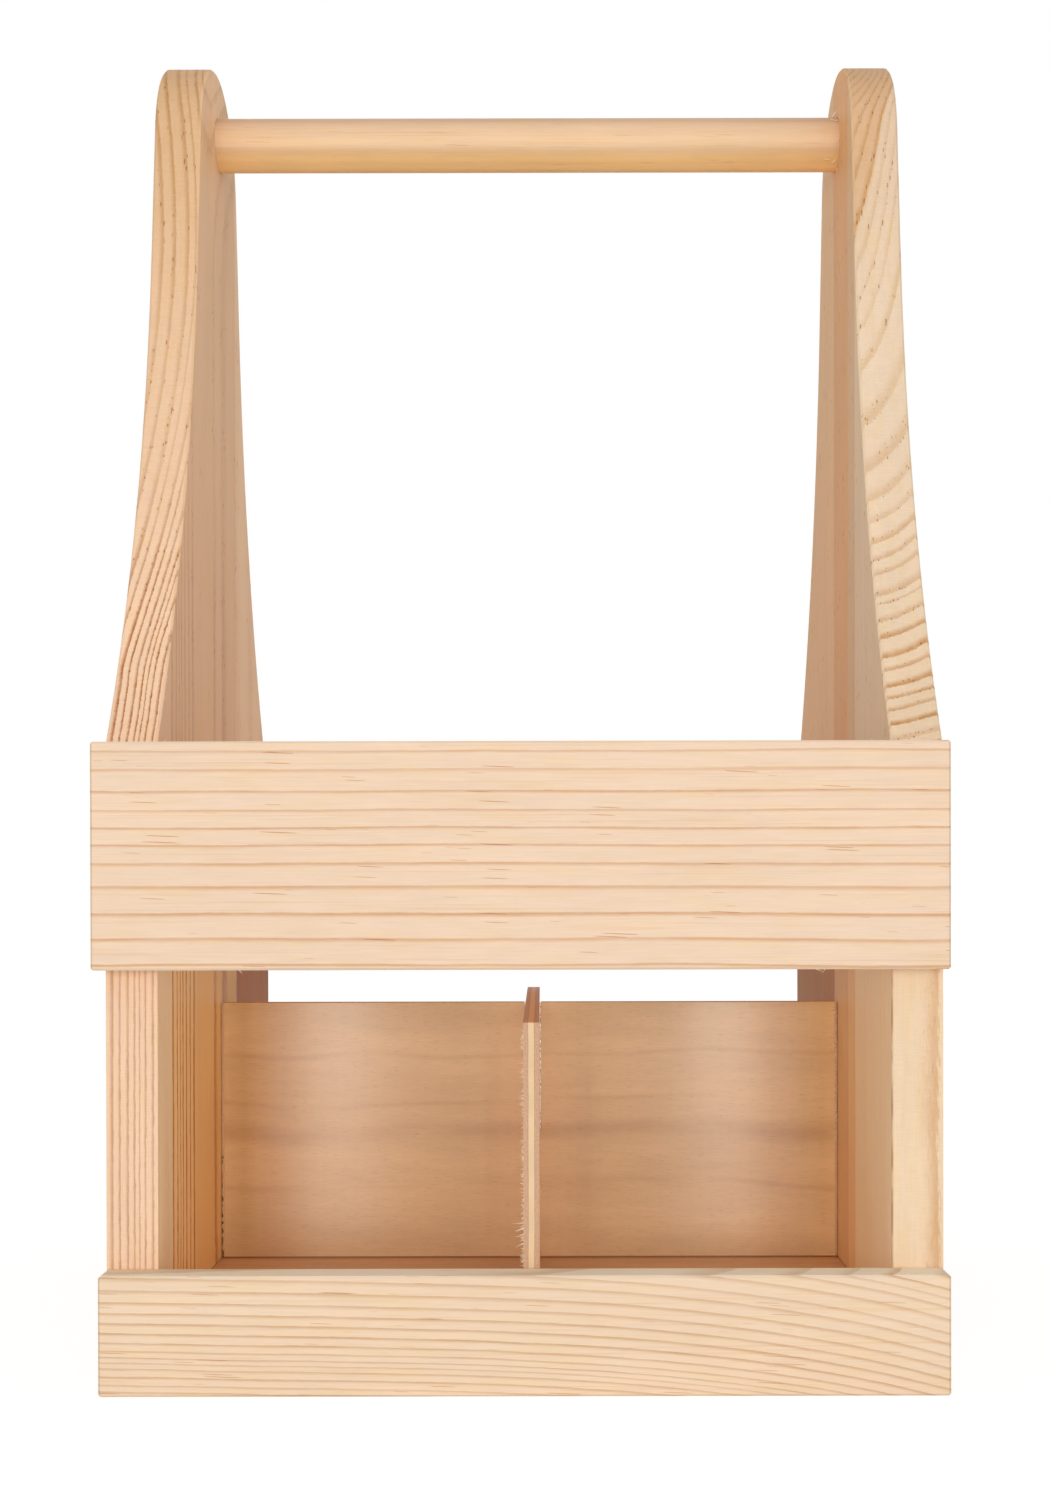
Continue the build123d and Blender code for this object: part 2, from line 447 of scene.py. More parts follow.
line_relief = -0.35
fibre_relief = 0.55
pine_relief = 0.05


def wavy_rings(wood, look):
    """The value that grows from ring to ring, with waves across the grain and rough edges."""
    wavy = list(wood.parts)
    for waves, reach in zip((slow_waves, quick_waves), look.waves):
        noise = wood.pattern(*waves, output="Color")
        shift = wood.split(wood.vector("SUBTRACT", noise, (centre_of_noise,) * 3))
        for index in wood.across:
            wavy[index] = wood.total(wavy[index], wood.product(shift[index], reach * 2))
    return wood.total(look.ring_place(wood, wavy), wood.sway(wood.pattern(*ring_fuzz), look.fuzz * 2))


def inner_side(wood):
    """1 on a panel's inner face, and 0 on its edges and its outer face."""
    facing = wood.step(wood.facing(0), 0.4, 0.9)
    return wood.product(facing, wood.step(wood.math("ABSOLUTE", wood.parts[0]), *on_inner_side))


def dark_lines(wood, look, ring_share, strength):
    """How much dark latewood there is, from 0 to about 1."""
    rise = wood.math("POWER", wood.step(ring_share, look.late_start, look.late_end), line_rise_power)
    fall = wood.step(ring_share, look.late_end + line_end_share, 1, 1, 0)
    lines = wood.product(wood.product(rise, fall), wood.product(strength, wood.patches(*line_gaps)))
    for low, high, at_low, at_high in look.fades:
        lines = wood.product(lines, wood.step(wood.parts[2], low, high, at_low, at_high))
    if look.inner_face is not None:
        kept = wood.step(wood.parts[2], *behind_upper_slat, *look.inner_face.line_strengths)
        kept = wood.product(kept, wood.step(wood.parts[1], *face_lines_weaken, 1, face_lines_at_back))
        kept = wood.math("MULTIPLY_ADD", wood.math("SUBTRACT", kept, 1), inner_side(wood), 1)
        lines = wood.product(lines, kept)
    return lines


def ring_colour(wood, look, radius, lines):
    """The colour of pale wood, dark lines and heart."""
    late = look.late
    if look.high_late is not None:
        low, high, high_colour = look.high_late
        late = wood.mix(wood.step(wood.parts[2], low, high), late, high_colour)
    colour = wood.mix(lines, look.early, late)
    if look.heart is not None:
        colour = wood.tinted(colour, wood.step(radius, *look.heart), look.heart_tint)
    return colour


def varied_colour(wood, look, colour, fibre):
    """Adds brighter and darker fibres and clouds, and warm and golden patches."""
    clouds = wood.pattern(*pine_clouds)
    mottle = wood.pattern(*pine_mottle)
    brightness = wood.total(
        wood.slope(fibre, *fine_noise_range, -fibre_shade, fibre_shade),
        wood.slope(clouds, *noise_range, -look.clouds, look.clouds),
        wood.slope(mottle, *noise_range, -mottle_shade, mottle_shade),
        1,
    )
    colour = wood.shade(colour, brightness)
    colour = wood.tinted(colour, wood.patches(*warm_patches), warm_tint)
    return wood.tinted(colour, wood.patches(*golden_patches), golden_tint)


def resin_canals(wood, look, ring_share):
    """How strong a resin canal is: long streaks anywhere, or dots in groups near the dark lines."""
    kind = look.canals
    turn = {"Vector": wood.moved, "Axis": (0, 1, 0), "Angle": canal_tilt}
    place = wood.stretched(wood.add("ShaderNodeVectorRotate", turn), kind.along, kind.across)
    cells = wood.node("ShaderNodeTexVoronoi", {"Vector": place, "Scale": 1})
    size = wood.split(cells.outputs["Color"])[0]
    reach = wood.slope(size, kind.smallest, 1, kind.least_reach, kind.most_reach)
    canal = wood.product(wood.math("LESS_THAN", cells.outputs["Distance"], reach), look.canal_strength)
    if kind is dots:
        canal = wood.product(canal, wood.step(ring_share, *dotted_share), wood.patches(*dot_groups))
        canal = wood.product(canal, wood.step(wood.parts[2], *fewer_dots))
    return canal


def canal_colour(wood, look, colour, canal):
    """Darkens the canals, and adds dark hairs between long streaks."""
    colour = wood.tinted(colour, canal, look.canals.tint)
    if look.canals is streaks:
        colour = wood.tinted(colour, wood.patches(*hairs), hair_tint)
    return colour


def height_tints(wood, stops):
    """Tints that blend from one (height, tint) stop to the next."""
    (low, tint), *others = stops
    for high, following in others:
        tint = wood.mix(wood.step(wood.parts[2], low, high), tint, following)
        low = high
    return tint


def zone_tints(wood, borders, tints):
    """The first tint up to the first border in depth, the next one up to the next border, and so on."""
    tint = tints[0]
    for border, following in zip(borders, tints[1:]):
        tint = wood.mix(wood.step(wood.parts[1], border - zone_blur, border + zone_blur), tint, following)
    return tint


def place_tint(wood, look):
    """Painted light and shade: the tint by height, and by zones on a panel's inner face."""
    tint = height_tints(wood, look.heights)
    face = look.inner_face
    if face is not None:
        low = zone_tints(wood, face.borders, face.low_tints)
        high = zone_tints(wood, face.borders, face.high_tints)
        zones = wood.mix(wood.step(wood.parts[2], *behind_upper_slat), low, high)
        tint = wood.mix(inner_side(wood), tint, zones)
    return tint


def torn_corner(wood, corner):
    """The dark torn line along an upright corner, which is weaker above."""
    distances = [wood.distance(wood.parts[axis], place) for axis, place in enumerate(corner)]
    dark = wood.step(wood.math("MAXIMUM", *distances), *raw_corner_edge)
    return wood.product(dark, wood.patches(*raw_corner_gaps), wood.step(wood.parts[2], *raw_corner_fade))


def saw_marks(wood, strength):
    """The brightness of saw marks on a panel's edges."""
    marks = wood.noise(wood.vector("MULTIPLY", wood.moved, saw_mark_density), 3, 0.65)
    shade = wood.slope(marks, *noise_range, -strength, strength)
    return wood.math("ADD", wood.product(shade, wood.step(wood.facing(0), 0.6, 0.2)), 1)


def pine(name, **own):
    """Pine with the year rings and tints of one board."""
    look = PineLook(**own)
    wood = Wood(name, look.grain, look.seed, pine_seed_step)
    radius = wavy_rings(wood, look)
    ring_share, strength = ring_values(wood, radius, look.rings)
    lines = dark_lines(wood, look, ring_share, strength)
    fibre = wood.pattern(*pine_fibre)
    canal = resin_canals(wood, look, ring_share)

    colour = varied_colour(wood, look, ring_colour(wood, look, radius, lines), fibre)
    colour = canal_colour(wood, look, colour, canal)
    colour = wood.tinted(colour, wood.step(wood.facing(wood.grain), 0.25, 0.95), end_grain_tint)
    if look.heights:
        colour = wood.multiplied(colour, place_tint(wood, look))
    # Faces that look up get painted light
    if look.top_tint is not None:
        colour = wood.tinted(colour, wood.step(wood.normal[2], 0.6, 0.9), look.top_tint)
    if look.raw_corner is not None:
        colour = wood.tinted(colour, torn_corner(wood, look.raw_corner), raw_corner_tint)
    if look.saw_marks:
        colour = wood.shade(colour, saw_marks(wood, look.saw_marks))

    height = wood.total(
        wood.product(lines, line_relief),
        wood.product(fibre, fibre_relief),
        wood.product(canal, look.canals.relief),
    )
    roughness = wood.slope(lines, 0, 1, *pine_roughness)
    return wood.finish(colour, roughness, pine_specular, height, pine_relief)


@dataclass(frozen=True)
class PlywoodLook:
    """What one three-ply board has of its own, and the light and shade painted on it.

    A stripe is the height, half width and strength of a dark band in the face. A painted light place is the
    place along the grain, the reach and the strength of painted light there, darker where the strength is
    below 0, and a painted shade place gives the same for painted shade, which is redder and darker.
    """
    grain: str  # axis of the face veneers' fibres
    thickness_axis: str
    seed: float
    face: tuple  # colour of the face veneers
    stripes: tuple = ()
    pale_places: tuple = ()
    deep_places: tuple = ()
    skew: float = 0.0  # how far the board's middle plane moves for each millimetre along the grain
    foot: float = -100  # height of a painted contact shadow along the lower edge, by default far below


# Three-ply of every board
flows = (((300, 22, 1), 6), ((30, 4), 0.30))  # patterns, and how many lines they swing over
flow_line_rise = (0.5, 0.93)
flow_line_fall = (0.94, 1)
flow_line_shade = -0.02
veneer_clouds = (90, 13, 3)
veneer_cloud_shades = (-0.03, 0.05)
veneer_mottle = (14, 2.2)
veneer_mottle_shade = 0.03
veneer_fibre = (5, 0.22, 3, 0.65)
veneer_fibre_shade = 0.06
stripe_bends = (60, 40, 1)
stripe_bend = 12
stripe_gaps = ((38, 12, 1), (0.35, 0.62, 0.25, 1.6))
dark_clouds = (0.3, 0.6, 0.10, 0)
# Tint of the dark stripes and clouds, and of the painted shadow along the lower edge
dark_tint = (0.48, 0.28, 0.14)
foot_edge = (0.65, 0.35)  # heights above the foot at which the painted shadow starts and is full
# Tint of the painted shade places
deep_tint = (0.90, 0.79, 0.68)
flecks = ((3.2, 0.3, 1), (0.66, 0.74))
fleck_strength = 0.30
fleck_brightness = 1.22
pores = ((2.8, 0.20, 1), (0.60, 0.70, 0, 0.55))
pore_tint = (0.80, 0.66, 0.54)
ply_wander = (30, 9)
ply_wander_width = 0.35
middle_ply_border = (0.72, 0.64)  # depths from the middle plane
glue_outside = (0.86, 0.76)
glue_inside = (0.62, 0.70)
glue_strength = 0.55
glue_colour = (0.42, 0.27, 0.18)
outer_ply_colour = (0.70, 0.41, 0.255)
outer_ply_shades = (0.78, 1.12)
middle_ply_colour = (0.89, 0.62, 0.37)
middle_ply_fibre = (0.3, 6)
middle_ply_shades = (0.95, 1.03)
ply_top_tint = (0.82, 0.48, 0.17)
stipple_density = (2.6, 2.6, 2.6)
plywood_specular = 0.6
plywood_roughness = (0.25, 0.9)  # of the face and the edge
plywood_relief = 0.1


def veneer_brightness(wood, look, clouds):
    """The brightness of the face veneer, with fine lines that flow along the grain, and painted light and
    shade at given places along it.
    """
    flow = wood.total(*[wood.product(wood.pattern(*pattern), lines) for pattern, lines in flows])
    share = wood.math("FRACT", flow)
    lines = wood.product(wood.step(share, *flow_line_rise), wood.step(share, *flow_line_fall, 1, 0))
    mottle = wood.pattern(*veneer_mottle)
    fibre = wood.pattern(*veneer_fibre)
    brightness = wood.total(
        wood.slope(clouds, *noise_range, *veneer_cloud_shades),
        wood.slope(mottle, *noise_range, -veneer_mottle_shade, veneer_mottle_shade),
        wood.slope(fibre, *fine_noise_range, -veneer_fibre_shade, veneer_fibre_shade),
        wood.product(lines, flow_line_shade),
        1,
    )
    for place in look.pale_places:
        brightness = wood.total(brightness, wood.near(wood.parts[wood.grain], *place))
    return brightness


def veneer_darkness(wood, look, clouds):
    """How dark the face veneer is, from its stripes, its clouds and the painted shadow along its lower edge.
    """
    height = wood.parts[2]
    bent = wood.total(height, wood.sway(wood.pattern(*stripe_bends), stripe_bend))
    uneven = wood.patches(*stripe_gaps)
    dark = wood.step(clouds, *dark_clouds)
    for stripe in look.stripes:
        dark = wood.math("MULTIPLY_ADD", wood.near(bent, *stripe), uneven, dark)
    foot_line = wood.step(height, *[look.foot + edge for edge in foot_edge])
    return wood.math("MAXIMUM", dark, foot_line)


def veneer_colour(wood, look):
    """The colour of the face veneer, with the light and shade painted on it."""
    clouds = wood.pattern(*veneer_clouds)
    colour = wood.shade(look.face, veneer_brightness(wood, look, clouds))
    colour = wood.tinted(colour, veneer_darkness(wood, look, clouds), dark_tint)
    # Painted shade, redder and darker, at given places along the grain
    for place in look.deep_places:
        colour = wood.tinted(colour, wood.near(wood.parts[wood.grain], *place), deep_tint)
    fleck = wood.product(wood.patches(*flecks), fleck_strength)
    colour = wood.mix(fleck, colour, wood.shade(colour, fleck_brightness))
    return wood.tinted(colour, wood.patches(*pores), pore_tint)


def ply_edge_colour(wood, look, node, stipple):
    """The colour of the sawn edges: two outer plies, a paler one between them and the glue lines."""
    thickness = axis_numbers[look.thickness_axis]
    centre = sum(corner[thickness] for corner in box_of(node)) / 2
    middle_plane = wood.math("MULTIPLY_ADD", wood.parts[wood.grain], look.skew, centre)
    depth = wood.math("SUBTRACT", wood.parts[thickness], middle_plane)
    wander = wood.sway(wood.pattern(*ply_wander), ply_wander_width)
    depth = wood.math("ABSOLUTE", wood.total(depth, wander))
    outer = wood.shade(outer_ply_colour, wood.slope(stipple, *noise_range, *outer_ply_shades))
    fibre = wood.pattern(*middle_ply_fibre)
    middle = wood.shade(middle_ply_colour, wood.slope(fibre, *noise_range, *middle_ply_shades))
    colour = wood.mix(wood.step(depth, *middle_ply_border), outer, middle)
    glue = wood.product(wood.step(depth, *glue_inside), wood.step(depth, *glue_outside))
    colour = wood.mix(wood.product(glue, glue_strength), colour, glue_colour)
    return wood.tinted(colour, wood.step(wood.normal[2], 0.5, 0.9), ply_top_tint)


def plywood(node, **own):
    """Three-ply: the face veneers run along the grain, and the middle ply runs across it."""
    look = PlywoodLook(**own)
    wood = Wood("plywood_" + node, look.grain, look.seed)
    edge = wood.step(wood.facing(axis_numbers[look.thickness_axis]), 0.85, 0.5)
    stipple = wood.noise(wood.vector("MULTIPLY", wood.moved, stipple_density), 3, 0.7)
    colour = wood.mix(edge, veneer_colour(wood, look), ply_edge_colour(wood, look, node, stipple))
    roughness = wood.slope(edge, 0, 1, *plywood_roughness, "SMOOTHSTEP")
    height = wood.product(stipple, edge)
    return wood.finish(colour, roughness, plywood_specular, height, plywood_relief, look.grain)


plain_fibre = (5, 0.4, 3, 0.6)
plain_shades = (0.9, 1.06)
steel_colour = (0.74, 0.74, 0.72)
steel_cloud_density = 0.9
steel_shades = (0.9, 1.05)
steel_roughness = (0.28, 0.40)


def plain_wood(name, grain, colour, seed):
    """Fine even wood, for the pins and for torn fibres."""
    wood = Wood(name, grain, seed)
    fibre = wood.pattern(*plain_fibre)
    shaded = wood.shade(colour, wood.slope(fibre, *fine_noise_range, *plain_shades))
    return wood.finish(shaded, 0.55, 0.4, fibre, 0.04)


def zinc_steel():
    """Zinc-plated steel of the screws."""
    steel = Graph(bpy.data.materials.new("zinc_steel_screws"))
    place = steel.vector("MULTIPLY", steel.coordinates["Object"], (1 / millimetre,) * 3)
    cloud = steel.noise(steel.vector("MULTIPLY", place, (steel_cloud_density,) * 3), 3, 0.6)
    colour = steel.shade(steel_colour, steel.slope(cloud, *noise_range, *steel_shades))
    roughness = steel.step(cloud, *noise_range, *steel_roughness)
    return steel.finish(colour, roughness, 0.5, metallic=1)


slat_early = (0.888, 0.662, 0.490)
slat_late = (0.68, 0.37, 0.185)

# The dark lines of the year rings as the photograph shows them, each with its strength: at their heights on
# the slats' outer faces, and by the values of the panels' ring places
upper_slat_lines = [
    (98.5, 0.9), (104.4, 0.8), (110.1, 1), (116.2, 0.8), (121.4, 0.8), (125.5, 0.9),
    (129.4, 0.9), (133.4, 0.7), (137.7, 0.9), (142.7, 0.6), (146.8, 0.7),
]
lower_slat_lines = [
    (1.5, 0.7), (3, 0.6), (4.9, 0.8), (6.7, 0.7), (8, 0.6), (9.2, 0.8), (10.75, 0.7), (12.6, 0.8),
    (14.8, 0.9), (17.1, 0.8), (19.4, 0.8), (21.9, 0.7), (24.6, 0.7), (27.4, 0.6), (29.8, 0.6), (33, 0.6),
]
left_panel_rings = [
    (-103.4, 0.8), (-100, 0.9), (-96.8, 1), (-93.3, 0.8), (-91.4, 0.7), (-88.8, 1), (-87.2, 1),
    (-85.3, 0.9), (-83.8, 1), (-82.7, 0.9), (-81.3, 1), (-79.5, 0.9),
]
right_panel_rings = [
    (9.6, 0.5), (11.2, 0.6), (12.6, 0.6), (14, 0.7), (15.5, 0.7), (17, 0.8), (18.8, 1),
    (20.4, 0.35), (21.9, 0.4), (23.4, 0.4), (26, 0.6), (30.2, 0.5), (34.3, 0.5), (37.4, 0.4),
    (39.8, 0.35), (42.3, 0.6), (44.3, 0.5), (46.2, 0.45), (49, 0.5), (50.1, 0.4), (52.5, 0.5),
    (54.9, 0.9), (57.7, 0.95), (59.7, 0.7), (62.4, 1), (64.2, 0.7), (66.1, 0.7), (68.5, 1),
    (71.1, 0.3), (72.95, 1.25),
]


def front_upper_slat_pine():
    pith = (-72, -30)
    return pine(
        "pine_front_upper_slat",
        grain="x", seed=1,
        ring_place=rings_around(pith),
        rings=slat_rings(upper_slat_lines, pith, mean_width=5, end=200, seed=3),
        early=slat_early, late=slat_late, late_start=0.74,
        waves=(0.9, 0.25), canal_strength=1, clouds=0.02,
    )


def front_lower_slat_pine():
    pith = (-80, -70)
    return pine(
        "pine_front_lower_slat",
        grain="x", seed=2,
        ring_place=rings_around(pith, lower_slat_drop),
        rings=slat_rings(lower_slat_lines, pith, mean_width=2.5, end=130, seed=4),
        early=(0.898, 0.684, 0.498), late=(0.62, 0.37, 0.19), late_start=0.5,
        waves=(0.5, 0.25), canal_strength=0.8, clouds=0.02,
        # Painted light on the top face, which is paler and greyer
        top_tint=(1.05, 1.20, 1.32),
    )


def back_upper_slat_pine():
    return pine(
        "pine_back_upper_slat",
        grain="x", seed=3,
        ring_place=rings_around((140, 60)),
        rings=more_rings([], mean_width=3.4, start=30, end=110, seed=5),
        early=slat_early, late=slat_late, waves=(2, 0.4),
    )


def back_lower_slat_pine():
    return pine(
        "pine_back_lower_slat",
        grain="x", seed=4,
        ring_place=rings_around((60, -25)),
        rings=more_rings([], mean_width=2.6, start=20, end=75, seed=6),
        early=slat_early, late=slat_late, waves=(1.5, 0.4),
    )


def left_side_panel_pine():
    return pine(
        "pine_left_side_panel",
        grain="z", seed=5,
        ring_place=swept_rings,
        rings=more_rings(left_panel_rings, mean_width=1.9, start=-124, end=-72, seed=7),
        early=(0.93, 0.655, 0.462), late=(0.42, 0.125, 0.01), late_start=0.44, late_end=0.86,
        high_late=(190, 270, (0.60, 0.31, 0.10)),
        fades=((115, 150, 0.62, 1), (176, 225, 1, 0.40), (235, 300, 1, 2)),
        waves=(0.5, 0.2), fuzz=0.25, clouds=0.03, canals=dots, canal_strength=0.9, saw_marks=0.04,
        # Painted light and shade by height, darker towards the top; the amber there is partly the neck's own
        # tone
        heights=(
            (90, (1, 0.97, 0.95)), (175, (1.07, 1.04, 1.02)),
            (235, (0.95, 0.90, 0.83)), (325, (0.83, 0.735, 0.575)),
        ),
        # Painted light at the front of the inner face, and painted shade behind the long divider below the
        # upper slat
        inner_face=InnerFace(
            borders=(-68, -37.6, 24.7),
            low_tints=(
                (1.18, 1.29, 1.20), (1.24, 1.20, 0.84),
                (1.14, 1.05, 0.66), (0.65, 0.33, 0.09),
            ),
            high_tints=(
                (1.06, 1.02, 0.95), (1.04, 0.98, 0.85),
                (1.04, 0.98, 0.85), (1.20, 1.20, 1.12),
            ),
            line_strengths=(1.7, 0.42),
        ),
    )


def right_side_panel_pine():
    return pine(
        "pine_right_side_panel",
        grain="z", seed=6,
        ring_place=rings_around((80, -14)),
        rings=more_rings(right_panel_rings, mean_width=2.4, start=3, end=102, seed=8),
        early=(0.88, 0.67, 0.485), late=(0.58, 0.26, 0.07), late_start=0.42, late_end=0.88,
        high_late=(200, 250, (0.70, 0.44, 0.20)),
        fades=((115, 150, 0.5, 1),),
        waves=(0.8, 0.3), fuzz=0.22, clouds=0.03, canals=dots, canal_strength=0.9, saw_marks=0.04,
        heart=(19.2, 18.4), heart_tint=(0.93, 0.80, 0.66),
        raw_corner=(panel_low.x, panel_low.y),
        # Painted shade by height: darker towards the top
        heights=(
            (60, (1.02, 1.00, 0.94)), (150, (1.02, 1.02, 1.00)),
            (235, (1, 1, 1)), (330, (0.89, 0.85, 0.83)),
        ),
        # Painted light at the front of the inner face, and painted shade behind the long divider below the
        # upper slat
        inner_face=InnerFace(
            borders=(-20.8, 4),
            low_tints=((1.25, 1.32, 1.25), (1.14, 1.14, 1.05), (0.72, 0.43, 0.19)),
            high_tints=((1.06, 1.08, 1.05), (1.12, 0.95, 0.75), (1.12, 0.95, 0.75)),
        ),
    )


def handle_pine():
    # Painted light by height: the underside is brighter, as if lit from below, and the top is darker
    bands = (
        (0, (1.45, 1.50, 1.40)), (1.1, (1.16, 1.18, 1.06)), (3.4, (0.96, 0.91, 0.83)),
        (5.4, (1.10, 1.09, 1.05)), (8.4, (1.00, 0.95, 0.91)), (13.4, (0.81, 0.74, 0.76)),
    )
    return pine(
        "pine_handle",
        grain="x", seed=7,
        ring_place=rings_around((12, 415)),
        rings=more_rings([], mean_width=5, start=80, end=112, seed=9),
        early=(0.86, 0.61, 0.40), late=(0.80, 0.53, 0.32), late_start=0.3,
        waves=(0.6, 0.3), canal_strength=0.5,
        heart=(99.2, 100.8), heart_tint=(1, 0.93, 0.74),
        heights=tuple((handle_bottom + above, tint) for above, tint in bands),
    )


def long_divider_plywood():
    return plywood(
        "long_divider",
        grain="x", thickness_axis="y", seed=1, face=(0.75, 0.494, 0.248),
        stripes=((70.5, 1.2, 0.10), (56.9, 1.2, 0.10), (48.5, 4.2, 0.17), (33.7, 1.6, 0.11)),
        # Painted light beside the cross divider and at the very ends, and painted shade near the ends
        pale_places=((-85, 7, 0.12), (0.9, 20, 0.28), (42, 22, -0.08), (85, 9, 0.22)),
        deep_places=((-71, 14, 0.95), (70, 13, 0.6)),
        # Painted contact shadow along the lower edge, where the divider meets the floor panel
        foot=divider_low.z,
    )


def cross_divider_plywood():
    return plywood(
        "cross_divider",
        grain="y", thickness_axis="x", seed=2, face=(0.84, 0.54, 0.30), skew=-0.007,
    )


def floor_panel_plywood():
    return plywood(
        "floor_panel",
        grain="x", thickness_axis="z", seed=3, face=(0.86, 0.49, 0.235),
    )


def board_materials():
    """A material for each node."""
    pins = plain_wood("beech_pins", "y", (0.72, 0.50, 0.33), 8)
    pin_nodes = ("front_upper_pins", "back_upper_pins", "front_lower_pins", "back_lower_pins")
    return {
        "front_upper_slat": front_upper_slat_pine(),
        "front_lower_slat": front_lower_slat_pine(),
        "back_upper_slat": back_upper_slat_pine(),
        "back_lower_slat": back_lower_slat_pine(),
        "left_side_panel": left_side_panel_pine(),
        "right_side_panel": right_side_panel_pine(),
        "handle_dowel": handle_pine(),
        "long_divider": long_divider_plywood(),
        "cross_divider": cross_divider_plywood(),
        "floor_panel": floor_panel_plywood(),
        "handle_screws": zinc_steel(),
        **dict.fromkeys(pin_nodes, pins),
    }


def smooth_by_angle():
    """Geometry nodes that forget stored normals and shade smooth except over sharp edges."""
    group = bpy.data.node_groups.new("smooth_by_angle", "GeometryNodeTree")
    for direction in ("INPUT", "OUTPUT"):
        group.interface.new_socket("Geometry", in_out=direction, socket_type="NodeSocketGeometry")
    nodes = Nodes(group)
    start = nodes.add("NodeGroupInput")
    plain = nodes.add("GeometryNodeRemoveAttribute", {"Geometry": start, "Name": "custom_normal"})
    inputs = {"Geometry": plain, "Shade Smooth": True}
    smooth = nodes.add("GeometryNodeSetShadeSmooth", inputs, domain="FACE")
    angle = nodes.add("GeometryNodeInputMeshEdgeAngle", output="Unsigned Angle")
    limit = math.radians(sharp_edge_angle)
    sharp = nodes.add("FunctionNodeCompare", {0: angle, 1: limit}, operation="GREATER_THAN")
    inputs = {"Geometry": smooth, "Selection": sharp, "Shade Smooth": False}
    edged = nodes.add("GeometryNodeSetShadeSmooth", inputs, domain="EDGE")
    nodes.node("NodeGroupOutput", {0: edged})
    return group


def round_edges(piece):
    bevel = piece.modifiers.new("rounded_edges", "BEVEL")
    bevel.width = edge_rounding * millimetre
    bevel.segments = edge_rounding_segments
    bevel.limit_method = "ANGLE"
    bevel.angle_limit = math.radians(edge_rounding_angle)
    bevel.harden_normals = False


def dress_nodes():
    """Gives every CAD node its material, and the boards slightly rounded edges."""
    shading = smooth_by_angle()
    for name, material in board_materials().items():
        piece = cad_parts[name]
        for slot in piece.material_slots:
            slot.material = material
        weld = piece.modifiers.new("weld", "WELD")
        weld.merge_threshold = weld_distance * millimetre
        if name.endswith(("slat", "panel", "divider")):
            round_edges(piece)
        smooth = piece.modifiers.new("smooth", "NODES")
        smooth.node_group = shading
        even = piece.modifiers.new("even_normals", "WEIGHTED_NORMAL")
        even.mode = "FACE_AREA"
        even.keep_sharp = True


# Torn fibres: thin curved strands that narrow to a point
strand_steps = 6
strand_curl = 0.35
strand_taper_power = 0.6
strand_flatness = 0.6
fuzz_scatter = 0.5
fuzz_thickness_shares = (0.6, 1.2)

# Lips of torn veneer at the long divider's ends, within its front face veneer
veneer_step = 0.6
veneer_front = divider_low.y + 0.03
veneer_back = divider_low.y + 0.25
veneer_root = divider_high.x - 0.35
veneer_tip = panel_low.x - 0.03
veneer_bottom = divider_low.z + 0.3
veneer_top = divider_high.z - 0.3

# The place, direction, length and thickness of each single torn fibre on the carcass
carcass_strands = [
    ((66.2, -93.5, 97.1), (1, 0, -0.35), 2.3, 0.11),
    ((68.4, -93.5, 97), (-0.5, 0, -1), 1.2, 0.09),
    ((-64.8, -93.5, 97.1), (0.8, 0, -0.5), 1.3, 0.10),
    ((-82.3, -90, 148.8), (0.5, 0, 1), 1.5, 0.10),
    ((-81.5, -90.5, 148.8), (-0.6, 0, 1), 1.1, 0.08),
    ((79.9, -90, 148.8), (-0.5, 0, 1), 1.5, 0.10),
    ((79, -90.2, 148.8), (0.6, 0, 1), 1, 0.08),
    ((-84.9, -58, 31.5), (0.3, -0.4, -1), 2.2, 0.12),
    ((-84.9, -58.5, 30), (0.2, 0.5, -1), 1.6, 0.10),
    ((96.9, -59.3, 191.7), (-1, -0.04, 0.04), 2.6, 0.09),
    ((83.6, -3.4, 327.1), (1, -0.6, 0.9), 2, 0.30),
    ((82.9, -5.2, 325.6), (1, -0.3, -0.6), 2.2, 0.26),
    ((84.3, -7.1, 318.9), (1, -0.6, 0.7), 1.2, 0.24),
    ((81.2, -4.6, 315), (1, -0.5, -0.5), 1.9, 0.28),
    ((83.4, -3.6, 314.2), (1, -0.5, 0.8), 1.8, 0.30),
    ((84.7, -2.6, 313.4), (0.3, -0.1, -1), 2.6, 0.30),
]

# Lines of short torn fibres: start, end, count, direction, least and greatest length, thickness, seed
carcass_fuzz = [
    ((-85, -78.5, 157), (-85, -55, 200), 16, (0.5, -0.3, -0.6), (0.4, 1), 0.07, 11),
    ((93, -85.1, 27.4), (96.4, -85.1, 27.4), 7, (0, -0.1, 1.2), (0.9, 2.4), 0.10, 12),
]
cross_divider_fuzz = [
    ((-0.3, -84.4, 28), (-0.3, -84.4, 83), 110, (-0.8, -0.1, -0.2), (0.5, 1.3), 0.15, 14),
    ((-0.3, -84.4, 33), (-0.3, -84.4, 38.5), 8, (-1, -0.1, -0.7), (1.5, 2.8), 0.15, 15),
]
long_divider_fuzz = [
    ((84.3, -1.9, 46), (84.3, -1.9, 82), 60, (0.7, -0.9, -0.3), (0.4, 0.9), 0.10, 17),
    ((84.55, -2, 50), (84.55, -2, 83), 50, (-0.2, -0.3, -1), (0.7, 1.6), 0.17, 27),
    ((-84.3, -1.9, 50), (-84.3, -1.9, 75), 9, (-0.7, -0.9, 0), (0.3, 0.7), 0.08, 18),
]
slot_fuzz = [((3.16, -1.9, 49.3), (3.16, -1.9, 84.3), 170, (-1, -0.2, 0), (0.25, 0.4), 0.14, 20)]

# The y that no fibre of the carcass and of the cross divider passes
carcass_fibre_front = -93.8
cross_fibre_front = -84.75


